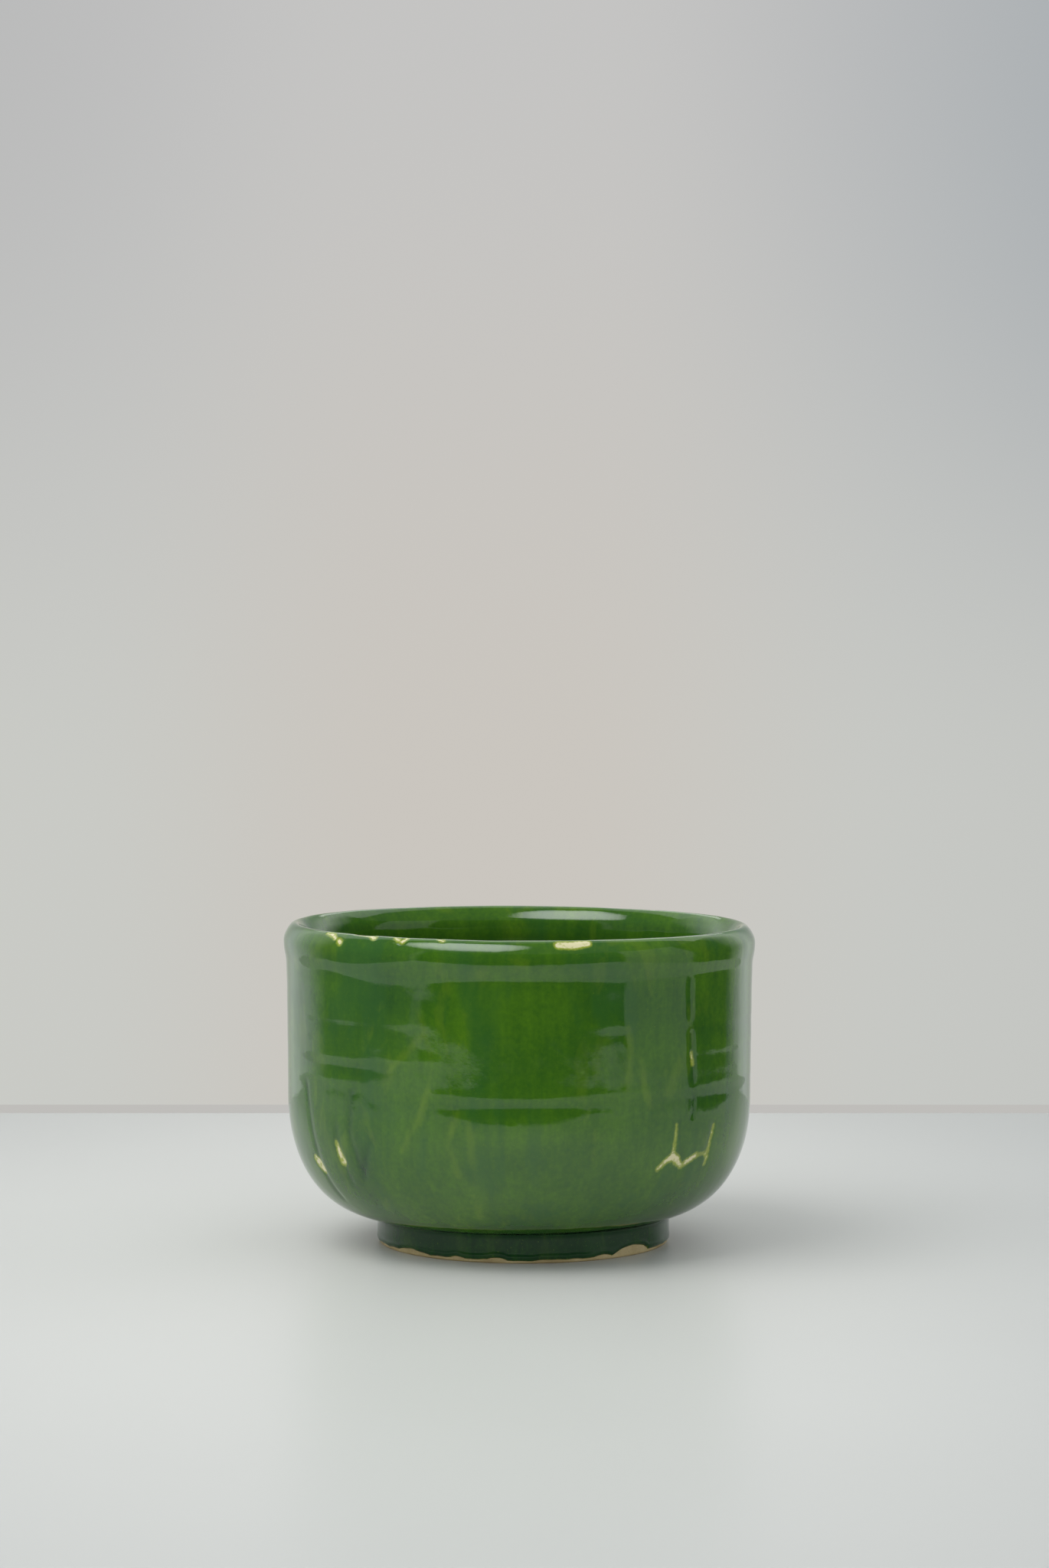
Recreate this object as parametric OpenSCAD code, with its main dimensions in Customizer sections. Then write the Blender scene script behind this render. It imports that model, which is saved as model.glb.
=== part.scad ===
// Matcha bowl: a wheel-thrown stoneware body with a rolled lip, standing on a ring foot,
// under coats of green copper glaze that stop a little above the foot's standing edge.
// Millimetres. The origin is on the standing plane under the middle of the bowl, and +Z is up.

/* [Bowl] */
// Outer diameter at the widest part of the lip
bowl_d = 120; // [100:0.5:150]
// Height from the standing edge to the top of the lip
bowl_h = 81.4; // [60:0.1:110]
// Thickness of the side wall, with the glaze on both faces
wall_t = 5; // [3.5:0.1:7]
// Thickness of the floor inside the foot, with the glaze on both faces
floor_t = 7; // [4:0.1:12]
// How much the wall's radius grows from the belly up to the lip
wall_lean = 0.3; // [0:0.1:3]
// Diameter of the flat middle of the well's floor
well_flat_d = 48; // [20:1:60]

/* [Lip] */
// Thickness of the rolled lip from its outer to its inner swell
lip_t = 6.6; // [5:0.1:9]
// Height of the lip, from the waist under it to its crest
lip_h = 13; // [8:0.5:18]
// How far the lip swells past the wall on the outside
lip_swell = 0.8; // [0:0.1:2]

/* [Belly] */
// Height of the curve that joins the foot to the wall
belly_h = 30; // [20:0.5:34]
// How far down the belly the wall holds its direction, as a share of the belly's height
belly_hold = 0.57; // [0.45:0.01:0.65]
// How far out the underside stays flat, as a share of the belly's width
belly_reach = 0.6; // [0.45:0.01:0.7]
// How far the underside has risen at the end of that reach
belly_rise = 0.8; // [0:0.1:3]

/* [Foot] */
// Outer diameter of the foot, with its glaze
foot_d = 74.4; // [50:0.2:92]
// Height of the foot, up to the glaze under the belly
foot_h = 7.4; // [5:0.1:12]
// Thickness of the foot's ring, with the glaze on its outer face
foot_t = 7; // [5:0.1:12]
// Radius that rounds the standing edge, inside and out
foot_edge_r = 0.6; // [0.3:0.1:1.2]
// How far the foot sits to one side of the bowl's middle
foot_offset = 1; // [0:0.1:2]

/* [Glaze] */
// Thickness of every coat of glaze
glaze_t = 0.4; // [0.2:0.05:0.8]
// Bare clay above the rounded standing edge, on the outside
bare_outside = 0.2; // [0:0.1:2]
// Bare clay above the rounded standing edge, in the recess
bare_inside = 1; // [0:0.1:3]

/* [Hidden] */
$fn = 96;

// Places on the foot where the glaze stops higher: [azimuth in degrees, length along the foot, rise]
bare_patches = [
    [-43, 14, 1.85],
    [-57, 6, 0.5],
    [-138, 12, 0.75],
    [-116, 4, 0.35],
    [-100, 5, 0.6],
    [25, 9, 1.1],
    [78, 12, 1.4],
    [152, 7, 0.8]
];

bowl_r = bowl_d / 2;
crest_r = bowl_r - lip_t / 2;        // radius of the lip's highest ring
swell_z = bowl_h - lip_h / 2;        // height of the lip's widest ring
waist_z = bowl_h - lip_h;            // height of the waist under the lip
waist_r = bowl_r - lip_swell;
wall_r = waist_r - wall_lean;        // wall's outer radius where the belly begins
belly_z = foot_h + belly_h;          // height where the belly begins
foot_r = foot_d / 2;
foot_clay_r = foot_r - glaze_t;
recess_r = foot_r - foot_t;          // clay radius of the recess inside the foot
clay_bottom_z = foot_h + glaze_t;    // underside of the clay body, where the foot is luted on
floor_z = foot_h + floor_t;          // glazed floor of the well
well_flat_r = well_flat_d / 2;
well_hold = 0.7;                     // share of the well's curve that each end holds its direction
soft_hold = 0.4;                     // the same share on the gentle curves of the wall and waist
foot_overlap = 2;                    // how far the underside's glaze is drawn in under the foot's edge

clay_colour = [0.76, 0.69, 0.56];
glaze_colour = [0.13, 0.36, 0.10];

// Points along a cubic curve, without its first one
function curve(a, b, c, d, n) = [
    for (i = [1:n])
        let (t = i / n, u = 1 - t)
        u * u * u * a + 3 * u * u * t * b + 3 * u * t * t * c + t * t * t * d
];

// A curve between two upright tangents
function upright(a, b, n) = let (rise = soft_hold * (b[1] - a[1]))
    curve(a, a + [0, rise], b - [0, rise], b, n);

// Points along part of an ellipse, without its first one
function ellipse_arc(centre, rx, rz, from, to, n) = [
    for (i = [1:n])
        let (a = from + (to - from) * i / n)
        centre + [rx * cos(a), rz * sin(a)]
];

// The same outline moved to its left by d, which is into the clay
function inset(points, d) = [
    for (i = [0:len(points) - 1])
        let (
            before = points[max(i - 1, 0)],
            after = points[min(i + 1, len(points) - 1)],
            along = (after - before) / norm(after - before)
        )
        points[i] + d * [-along[1], along[0]]
];

function part_of(points, first, last) = [for (i = [first:last]) points[i]];
function backwards(points) = [for (i = [len(points) - 1:-1:0]) points[i]];

// Glazed surface outside, as [radius, height], from under the foot's edge up to the lip's crest
outside = concat(
    [[foot_r - foot_overlap - foot_offset, foot_h], [foot_r, foot_h]],
    curve(
        [foot_r, foot_h],
        [foot_r + belly_reach * (wall_r - foot_r), foot_h + belly_rise],
        [wall_r, belly_z - belly_hold * belly_h],
        [wall_r, belly_z],
        20
    ),
    upright([wall_r, belly_z], [waist_r, waist_z], 6),
    upright([waist_r, waist_z], [bowl_r, swell_z], 6),
    ellipse_arc([crest_r, swell_z], lip_t / 2, lip_h / 2, 0, 90, 8)
);

// Glazed surface inside, from the crest down to the middle of the floor
inside = concat(
    ellipse_arc([crest_r, swell_z], lip_t / 2, lip_h / 2, 90, 180, 8),
    upright([bowl_r - lip_t, swell_z], [waist_r - wall_t, waist_z], 6),
    upright([waist_r - wall_t, waist_z], [wall_r - wall_t, belly_z], 6),
    curve(
        [wall_r - wall_t, belly_z],
        [wall_r - wall_t, belly_z - well_hold * (belly_z - floor_z)],
        [wall_r - wall_t - (1 - well_hold) * (wall_r - wall_t - well_flat_r), floor_z],
        [well_flat_r, floor_z],
        20
    ),
    [[0, floor_z]]
);

skin = concat(outside, inside);

// Surface of the clay, a coat's thickness inside the glaze and nowhere below the seam with the foot
clay = [for (p = inset(skin, glaze_t)) [p[0], max(p[1], clay_bottom_z)]];
crest = len(outside) - 1;
last = len(skin) - 1;

// Everything about the foot is centred here
module at_foot() {
    translate([foot_offset, 0, 0]) children();
}

module upright_ring(outer_r, inner_r, low_z, high_z) {
    rotate_extrude()
        translate([inner_r, low_z])
            square([outer_r - inner_r, high_z - low_z]);
}

// Thrown wall, lip and floor, in one piece of clay
module clay_body() {
    color(clay_colour)
        rotate_extrude()
            polygon(concat([[0, clay_bottom_z]], clay));
}

// Ring foot, with a flat standing edge that is rounded on both sides
module foot_ring() {
    color(clay_colour)
        at_foot()
            rotate_extrude()
                polygon(concat(
                    [[recess_r, clay_bottom_z], [recess_r, foot_edge_r]],
                    ellipse_arc([recess_r + foot_edge_r, foot_edge_r],
                                foot_edge_r, foot_edge_r, 180, 270, 5),
                    [[foot_clay_r - foot_edge_r, 0]],
                    ellipse_arc([foot_clay_r - foot_edge_r, foot_edge_r],
                                foot_edge_r, foot_edge_r, 270, 360, 5),
                    [[foot_clay_r, clay_bottom_z]]
                ));
}

// Coat on the outside, from the foot up to the lip's crest
module outer_glaze() {
    color(glaze_colour)
        difference() {
            rotate_extrude()
                polygon(concat(part_of(skin, 0, crest), backwards(part_of(clay, 0, crest))));
            at_foot()
                cylinder(r = foot_r, h = 2 * clay_bottom_z);
        }
}

// Coat in the well, from the lip's crest down over the floor
module inner_glaze() {
    color(glaze_colour)
        rotate_extrude()
            polygon(concat(part_of(skin, crest, last), backwards(part_of(clay, crest, last))));
}

// Rounded notch that lifts the lower edge of the foot's coat over one bare patch
module bare_patch(azimuth, length, rise, edge_z) {
    radius = (length * length / 4 + rise * rise) / (2 * rise);
    rotate([0, 0, azimuth])
        translate([foot_clay_r - glaze_t, 0, edge_z + rise - radius])
            rotate([0, 90, 0])
                cylinder(r = radius, h = 3 * glaze_t);
}

// Coat on the outside of the foot, with its uneven lower edge
module foot_glaze() {
    edge_z = foot_edge_r + bare_outside;
    color(glaze_colour)
        at_foot()
            difference() {
                upright_ring(foot_r, foot_clay_r, edge_z, clay_bottom_z);
                for (patch = bare_patches)
                    bare_patch(patch[0], patch[1], patch[2], edge_z);
            }
}

// Coat in the recess inside the foot, over its ceiling and down its wall
module recess_glaze() {
    color(glaze_colour)
        at_foot() {
            upright_ring(recess_r, 0, foot_h, clay_bottom_z);
            upright_ring(recess_r, recess_r - glaze_t, foot_edge_r + bare_inside, clay_bottom_z);
        }
}

clay_body();
foot_ring();
outer_glaze();
inner_glaze();
foot_glaze();
recess_glaze();
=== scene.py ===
"""Lengths are in metres unless a name or its comment says mm. A turn is an angle in degrees round the bowl:
0 is the front, which faces -Y, and +90 is the side that faces +X.
"""

import math

import bpy
import numpy as np
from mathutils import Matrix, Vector
from mathutils.bvhtree import BVHTree


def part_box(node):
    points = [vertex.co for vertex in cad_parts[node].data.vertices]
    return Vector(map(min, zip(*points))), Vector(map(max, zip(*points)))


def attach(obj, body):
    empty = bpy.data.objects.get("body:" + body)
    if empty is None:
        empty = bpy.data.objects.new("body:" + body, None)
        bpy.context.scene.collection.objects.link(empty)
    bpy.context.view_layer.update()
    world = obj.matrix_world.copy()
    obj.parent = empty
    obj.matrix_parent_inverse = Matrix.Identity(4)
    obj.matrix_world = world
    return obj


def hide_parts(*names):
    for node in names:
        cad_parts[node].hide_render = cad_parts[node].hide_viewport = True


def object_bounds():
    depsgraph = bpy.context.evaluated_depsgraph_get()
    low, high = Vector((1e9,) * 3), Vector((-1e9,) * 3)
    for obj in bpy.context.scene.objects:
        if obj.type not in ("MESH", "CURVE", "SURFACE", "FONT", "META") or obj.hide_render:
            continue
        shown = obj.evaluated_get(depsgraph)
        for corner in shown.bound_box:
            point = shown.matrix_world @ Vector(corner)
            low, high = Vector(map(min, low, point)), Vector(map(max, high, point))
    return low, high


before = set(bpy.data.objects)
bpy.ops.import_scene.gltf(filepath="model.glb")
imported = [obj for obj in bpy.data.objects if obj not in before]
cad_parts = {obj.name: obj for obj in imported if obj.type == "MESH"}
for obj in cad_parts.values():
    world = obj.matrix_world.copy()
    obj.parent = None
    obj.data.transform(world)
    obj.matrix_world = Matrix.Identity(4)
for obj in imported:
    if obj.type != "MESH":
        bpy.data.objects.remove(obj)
CAD_LOW, CAD_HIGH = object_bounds()

MM = 0.001
BODY = "root"

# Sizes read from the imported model
COAT = CAD_HIGH.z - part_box("clay_body")[1].z
UNDERSIDE_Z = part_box("outer_glaze")[0].z
FOOT_COAT_LOW, FOOT_COAT_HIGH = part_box("foot_glaze")
FOOT_R = (FOOT_COAT_HIGH.x - FOOT_COAT_LOW.x) / 2
FOOT_X = (FOOT_COAT_HIGH.x + FOOT_COAT_LOW.x) / 2
FOOT_CLAY_R = FOOT_R - COAT
RECESS_COAT_LOW, RECESS_COAT_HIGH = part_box("recess_glaze")
RECESS_R = (RECESS_COAT_HIGH.x - RECESS_COAT_LOW.x) / 2
SECTION_MIDDLE = Vector((0, 0, 0.55 * CAD_HIGH.z))

# How finely the pieces are cut: columns round the bowl, and the step between rows
COAT_COLUMNS = 472
CLAY_COLUMNS = 236
FOOT_COLUMNS = 360
FOOT_COAT_COLUMNS = 600
RECESS_COLUMNS = 300
OUTER_STEP = 0.74 * MM
INNER_STEP = 0.95 * MM
CLAY_STEP = 1.8 * MM
BACK_STEP = 5 * MM

# The outer coat runs this far past the lip's crest, and rings round the axis stop this far from it
OVER_LIP = 17 * MM
AXIS_GAP = 0.4 * MM

# The lip, in mm: how far under its crest a shape's middle is, half the height it spans, and its size
LIP_SWELL = (3.7, 1.6, 0.20)
LIP_TUCK = (8.8, 2.5, 0.31)
# Where the tuck is softer: turn of the middle, half the turn it spans, and how much less deep
SOFT_LIP = (-42, 17, 0.19)
# The flat on the lip's inner edge: half its width and its depth in mm
INNER_FLAT = (1.5, 0.34)

# Throwing rings on the outside: height, turn of the middle, half the turn it spans, depth
RING_WIDTH_MM = 1.3
RING_CLIMB_MM = 0.6
RINGS = [
    (67.0, -48, 26, 0.040),
    (66.8, 4, 5, 0.045),
    (66.5, 180, 80, 0.040),
    (59.3, -50, 26, 0.055),
    (59.6, 24, 7, 0.050),
    (58.8, 64, 23, 0.065),
    (59.0, 180, 85, 0.050),
    (50.6, -46, 26, 0.070),
    (52.0, 64, 23, 0.065),
    (51.5, 180, 85, 0.055),
    (42.9, 0, 34, 0.075),
    (43.0, 64, 23, 0.060),
    (44.6, -56, 20, 0.040),
    (43.0, 180, 85, 0.055),
]

# Grooves that fingers and running glaze left: points (turn, height in mm), width and depth in mm
GROOVES = [
    ([(-63.5, 43), (-61.4, 34), (-60.2, 27), (-59.4, 21), (-57.5, 15)], 1.1, 0.19),
    ([(-50.0, 34), (-48.9, 26), (-48.0, 20)], 1.1, 0.13),
    ([(-44.1, 43), (-45.0, 33), (-42.6, 24)], 1.0, 0.19),
    ([(-37.5, 32), (-40.0, 28), (-42.6, 22)], 1.0, 0.19),
    ([(45.3, 57), (45.6, 52), (46.2, 46)], 1.0, 0.15),
    ([(44.8, 70), (45.1, 62)], 1.0, 0.10),
    ([(46.5, 42), (46.1, 37)], 0.8, 0.12),
    ([(41.4, 36), (42.5, 29), (45.2, 25), (52.0, 27), (54.0, 34)], 0.9, 0.12),
    ([(148.0, 40), (150.5, 24)], 1.2, 0.16),
    ([(196.0, 36), (194.0, 22)], 1.3, 0.14),
]

# Shallow hollows and swells: turn and height of the middle, half the turn and half the height, rise in mm
PRESSED = [
    (-66, 58, 7, 15, -0.20),
    (-31, 69, 8, 5, -0.12),
    (-26, 55, 4, 4, -0.07),
    (-36, 55, 4, 2.6, 0.06),
    (-50, 73, 6, 3, -0.08),
    (18, 68, 6, 3, 0.04),
    (-28, 48, 6, 5, 0.08),
    (3, 34.5, 17, 4.4, 0.15),
    (55, 37, 8, 3.5, 0.08),
    (-48, 66, 8, 4, 0.07),
    (36, 62, 9, 12, -0.05),
    (100, 50, 14, 16, -0.20),
    (165, 62, 16, 12, -0.18),
    (230, 48, 15, 14, -0.20),
]

# Places the glaze left bare or thin: points (turn, height in mm, radius in mm)
BARE_MARKS = [
    [(-54.5, 81.0, 0.30), (-51.5, 80.7, 0.45), (-50.0, 80.0, 0.30)],
    [(-48.4, 79.6, 0.50), (-47.6, 79.1, 0.55)],
    [(-44.0, 81.3, 0.15), (-39.0, 81.2, 0.35), (-37.2, 80.8, 0.55)],
    [(-31.2, 81.1, 0.25), (-30.0, 80.7, 0.40)],
    [(-28.0, 81.1, 0.30), (-28.8, 80.4, 0.50)],
    [(-19.6, 81.2, 0.25), (-18.4, 80.9, 0.25)],
    [(9.4, 80.4, 0.95), (12.6, 80.3, 1.00), (16.2, 80.7, 0.95)],
    [(-62.2, 24.4, 0.95), (-61.2, 23.6, 1.20), (-59.6, 21.8, 0.65)],
    [(-50.4, 30.2, 0.20), (-49.6, 27.0, 0.70), (-49.0, 25.4, 0.95)],
    [(36.1, 24.8, 0.35), (38.3, 26.6, 0.45), (40.4, 27.6, 0.85), (41.9, 26.4, 0.95)],
    [(41.9, 26.4, 0.70), (43.6, 24.9, 0.45), (45.4, 25.2, 0.15)],
    [(45.4, 25.6, 0.60), (48.6, 27.0, 0.55)],
    [(48.6, 27.0, 0.15), (51.8, 27.2, 0.10), (53.4, 26.2, 0.30), (53.0, 24.2, 0.05)],
    [(40.8, 35.4, 0.02), (40.5, 31.5, 0.15), (40.2, 28.2, 0.30)],
    [(54.6, 34.0, 0.10), (53.6, 30.0, 0.12), (53.2, 27.0, 0.25)],
    [(45.4, 52.4, 0.15), (45.9, 49.8, 0.25)],
    [(88.0, 80.9, 0.30), (92.0, 80.6, 0.45)],
    [(141.0, 81.1, 0.30), (146.0, 80.5, 0.60)],
    [(212.0, 81.0, 0.40), (216.0, 80.8, 0.30)],
    [(150.8, 25.0, 0.30), (151.2, 22.6, 0.55)],
    [(193.8, 23.4, 0.30), (193.4, 21.2, 0.50)],
]

# Lines where the glaze ran and broke yellower: points (turn, height in mm, radius in mm)
RUN_LINES = [
    [(-11.6, 38, 0.10), (-11.2, 30, 0.35), (-10.6, 14, 0.20)],
    [(-14.5, 40, 0.10), (-16.8, 32, 0.25), (-15.0, 24, 0.10)],
    [(-23.5, 58, 0.30), (-27.5, 53.5, 0.30), (-32.5, 49, 0.10)],
    [(-29.0, 30, 0.15), (-24.0, 38, 0.25), (-21.5, 45, 0.10)],
    [(26.4, 60, 0.10), (26.9, 53, 0.30), (26.2, 45, 0.10)],
    [(29.6, 52, 0.10), (31.0, 45, 0.35), (32.6, 40, 0.10)],
    [(120.0, 62, 0.15), (121.0, 44, 0.35), (119.0, 30, 0.15)],
    [(171.0, 58, 0.20), (168.0, 46, 0.30), (170.0, 26, 0.15)],
    [(226.0, 66, 0.15), (228.0, 52, 0.35), (226.5, 34, 0.15)],
]

MARK_DEPTH_MM = 0.16
# A mark is at its full depth this far inside its outline, and level this far outside it, in mm
MARK_SLOPE = (-0.2, 0.7)
RIM_RISE = 0.35 * MM
RIM_HIGH_TURN = -80
# A distance in mm that stands for no mark nearby, and one that is further than any
NO_MARK_MM = 9
FAR_MM = 1000
# About a full turn in radians, for waves and their random shifts
TURN = 6.28


def wrapped(angle):
    """An angle in radians, brought to within half a turn of 0."""
    return (angle + math.pi) % (2 * math.pi) - math.pi


def degrees_from(turn, middle):
    """How many degrees a turn in radians is from a middle turn in degrees."""
    return np.degrees(wrapped(turn - math.radians(middle)))


def smooth(value, low, high):
    """0 below low, 1 above high, and a smooth step between."""
    t = np.clip((value - low) / (high - low), 0, 1)
    return t * t * (3 - 2 * t)


def bell(value, middle, half):
    """1 at the middle, and fading on both sides of it."""
    return np.exp(-(((value - middle) / half) ** 2))


# ---------------------------------------------------------------- the outline, from the CAD


def node_tree(node):
    """A search tree of a CAD node's surface, to measure it with rays."""
    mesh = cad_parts[node].data
    points = [vertex.co.copy() for vertex in mesh.vertices]
    faces = [tuple(polygon.vertices) for polygon in mesh.polygons]
    return BVHTree.FromPolygons(points, faces)


def measured(node, first, last, from_inside):
    """Points (radius, height) on a node's surface, by rays through the middle of the section."""
    rays = 900
    reach = 0.2
    off_seam = math.radians(3.1)
    tree = node_tree(node)
    points = []
    for angle in np.linspace(first, last, rays):
        level = math.cos(angle)
        ray = Vector((level * math.cos(off_seam), level * math.sin(off_seam), math.sin(angle)))
        start = SECTION_MIDDLE if from_inside else SECTION_MIDDLE + reach * ray
        hit = tree.ray_cast(start, ray if from_inside else -ray)[0]
        if hit is not None:
            points.append((math.hypot(hit.x, hit.y), hit.z))
    return np.array(points)


def crest_radius():
    """Radius of the lip's highest ring."""
    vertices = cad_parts["outer_glaze"].data.vertices
    highest = max((vertex.co for vertex in vertices), key=lambda place: place.z)
    return math.hypot(highest.x, highest.y)


def evenly_spaced(points, step):
    """The same line with its points a step apart."""
    lengths = np.concatenate([[0], np.cumsum(np.hypot(*np.diff(points, axis=0).T))])
    places = np.arange(0, lengths[-1], step)
    return np.stack([np.interp(places, lengths, points[:, i]) for i in (0, 1)], axis=1)


def softened(points, width, step):
    """The line blurred over a width, with its last point on the bowl's axis."""
    half = int(4 * width / step)
    kernel = np.exp(-0.5 * (np.arange(-half, half + 1) * step / width) ** 2)
    kernel /= kernel.sum()
    before = 2 * points[0] - points[half:0:-1]
    after = points[-2 : -half - 2 : -1] * [-1, 1]
    padded = np.concatenate([before, points, after])
    return np.stack([np.convolve(padded[:, i], kernel, "valid") for i in (0, 1)], axis=1)


class Skin:
    """The glazed surface in section, from under the foot's edge, over the lip, to the well's middle."""

    STEP = 0.1 * MM
    # The line is blurred less round the lip, and the lip ends between these distances from the crest
    LIP_BLUR = 0.55 * MM
    WALL_BLUR = 1.8 * MM
    LIP_ENDS = (8 * MM, 14 * MM)
    # The line starts this far inside the foot's outer edge
    UNDER_FOOT_EDGE = 2.5 * MM
    # The rays stop this far from the crest, in radians
    CREST_GAP = 0.002
    # The lip's inner edge is where the surface leans this far from upright
    INNER_EDGE_LEAN = math.radians(34)

    def __init__(self):
        crest_r = crest_radius()
        crest_angle = math.atan2(CAD_HIGH.z - SECTION_MIDDLE.z, crest_r)
        foot_angle = math.atan2(UNDERSIDE_Z - SECTION_MIDDLE.z, FOOT_R + 2 * FOOT_X)
        start = [(FOOT_R - self.UNDER_FOOT_EDGE, UNDERSIDE_Z)]
        outside = measured("outer_glaze", foot_angle, crest_angle - self.CREST_GAP, False)
        crest = [(crest_r, CAD_HIGH.z)]
        gap = 2 * self.CREST_GAP
        inside = measured("inner_glaze", crest_angle - gap, -math.pi / 2 + gap, True)
        middle = [(0, inside[-1, 1])]
        line = evenly_spaced(np.concatenate([start, outside, crest, inside, middle]), self.STEP)
        crest_at = int(np.argmax(line[:, 1]))
        away = np.abs(np.arange(len(line)) - crest_at) * self.STEP
        wall_share = smooth(away, *self.LIP_ENDS)[:, None]
        lip_line = softened(line, self.LIP_BLUR, self.STEP)
        wall_line = softened(line, self.WALL_BLUR, self.STEP)
        line = lip_line * (1 - wall_share) + wall_line * wall_share
        self.r, self.z = line.T
        self.along = np.arange(len(line)) * self.STEP
        self.crest = self.along[int(np.argmax(self.z))]
        self.end = self.along[-1]
        dr, dz = np.gradient(self.r), np.gradient(self.z)
        size = np.hypot(dr, dz)
        self.nr, self.nz = dz / size, -dr / size
        within = self.along > self.crest
        leaning = self.nz[within] < math.sin(self.INNER_EDGE_LEAN)
        self.inner_edge = self.along[within][int(np.argmax(leaning))]

    def at(self, along):
        """Radius, height and the outward normal's two parts at places along the skin."""
        return [np.interp(along, self.along, values) for values in (self.r, self.z, self.nr, self.nz)]

    def outside_at(self, height):
        """How far along the skin the outside has a height."""
        below = self.along <= self.crest
        return np.interp(height, np.maximum.accumulate(self.z[below]), self.along[below])


SKIN = Skin()


# ---------------------------------------------------------------- relief, in mm off the outline


def rings_outside(turn, z):
    """Ridges that the fingers left, each a steep step with a slow slope on both sides."""
    total = np.zeros_like(turn + z)
    for height, middle, half, depth in RINGS:
        climbed = height + RING_CLIMB_MM * np.sin(turn + height)
        x = (z / MM - climbed) / RING_WIDTH_MM
        fade = np.exp(-((degrees_from(turn, middle) / half) ** 4))
        total += depth * x * np.exp(-x * x / 2) * fade
    return total


def pressed(turn, z):
    """Shallow hollows and swells where the wall was pressed."""
    total = np.zeros_like(turn + z)
    for middle, height, half, half_height, rise in PRESSED:
        total += rise * bell(degrees_from(turn, middle), 0, half) * bell(z / MM, height, half_height)
    return total


def lip_shape(turn, z):
    """The lip is widest near its top, with a short steep underside. It's softer on the left."""
    under_crest = (CAD_HIGH.z - z) / MM
    swell_at, swell_half, swell = LIP_SWELL
    tuck_at, tuck_half, tuck = LIP_TUCK
    soft_turn, soft_half, softening = SOFT_LIP
    tuck = tuck - softening * bell(degrees_from(turn, soft_turn), 0, soft_half)
    return swell * bell(under_crest, swell_at, swell_half) - tuck * bell(under_crest, tuck_at, tuck_half)


def unevenness(turn, z):
    """The slow waver of a hand-thrown wall."""
    rng = np.random.default_rng(11)
    reach_of_one = 0.045
    total = np.zeros_like(turn + z)
    for lobes in (2, 3, 5, 7, 11, 16):
        wave, shift, tilt = rng.uniform(22, 48), rng.uniform(0, TURN), rng.uniform(-1, 1)
        reach = reach_of_one / math.sqrt(lobes)
        total += reach * np.sin(lobes * turn + shift) * np.cos(TURN * z / MM / wave + tilt + shift)
    return total


def inner_lip_shape(along):
    """The lip's inner edge is flattened where it leans inwards."""
    half, depth = INNER_FLAT
    return -depth * bell((along - SKIN.inner_edge) / MM, 0, half)


def lumps(turn, up_mm, around_count, size_mm, seed):
    """Smooth random bumps between -1 and 1, so many round the bowl and so tall."""
    rng = np.random.default_rng(seed)
    rows = int(np.max(up_mm) / size_mm) + 3
    lattice = rng.uniform(-1, 1, (rows, around_count))
    x = turn / (2 * math.pi) * around_count
    y = np.clip(up_mm / size_mm, 0, rows - 2)
    x0, y0 = np.floor(x), np.floor(y)
    fx, fy = x - x0, y - y0
    fx, fy = fx * fx * (3 - 2 * fx), fy * fy * (3 - 2 * fy)
    column, row = x0.astype(int) % around_count, y0.astype(int)
    following = (column + 1) % around_count
    low = lattice[row, column] * (1 - fx) + lattice[row, following] * fx
    high = lattice[row + 1, column] * (1 - fx) + lattice[row + 1, following] * fx
    return low * (1 - fy) + high * fy


def pooling(turn, z):
    """The glaze's own uneven thickness: soft lumps and a ragged band low down, calmer on the right."""
    ragged_at, ragged_half = 37.5, 2.5
    calm_turn, calm_half, calm_share = 70, 20, 0.75
    up = z / MM + 0 * turn
    turn = turn + 0 * z
    total = 0.022 * lumps(turn, up, 46, 6.5, 3)
    total += 0.016 * lumps(turn, up, 90, 9.0, 4)
    total += 0.008 * lumps(turn + up / 150, up, 150, 3.2, 6)
    total += 0.012 * lumps(turn, up, 250, 1.6, 8) * bell(up, ragged_at, ragged_half)
    return total * (1 - calm_share * bell(degrees_from(turn, calm_turn), 0, calm_half))


def rings_inside(turn, from_middle):
    """The spiral that rises from the well's middle to under the lip."""
    pitch = 6.2
    depth = 0.10
    wave = 2 * math.pi * from_middle / MM / pitch - turn
    fade = smooth(from_middle, 2 * MM, 9 * MM) * (1 - smooth(from_middle, 82 * MM, 96 * MM))
    return depth * fade * (np.sin(wave) + 0.3 * np.sin(2 * wave + 0.8))


def lumps_inside(turn, from_middle):
    """Soft lumps in the well's glaze."""
    rise = 0.06
    up = from_middle / MM + 0 * turn
    fade = smooth(from_middle, 10 * MM, 30 * MM)
    return rise * fade * lumps(turn + 0 * from_middle, up, 52, 4.0, 9)


def on_skin(turn_deg, height_mm):
    """The point on the outline's outside with this turn and height."""
    r, z, _, _ = SKIN.at(SKIN.outside_at(height_mm * MM))
    turn = math.radians(turn_deg)
    return np.array([r * math.sin(turn), -r * math.cos(turn), z])


def distance_to_chain(points, chain, radii):
    """Distance in mm from points to a chain of tapered rods, less than 0 inside them."""
    nearest = np.full(points.shape[:-1], FAR_MM, dtype=float)
    for i in range(len(chain) - 1):
        a, b = chain[i], chain[i + 1]
        length = np.dot(b - a, b - a)
        share = np.clip((points - a) @ (b - a) / length, 0, 1)
        away = np.linalg.norm(points - a - share[..., None] * (b - a), axis=-1) / MM
        nearest = np.minimum(nearest, away - radii[i] - share * (radii[i + 1] - radii[i]))
    return nearest


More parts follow.
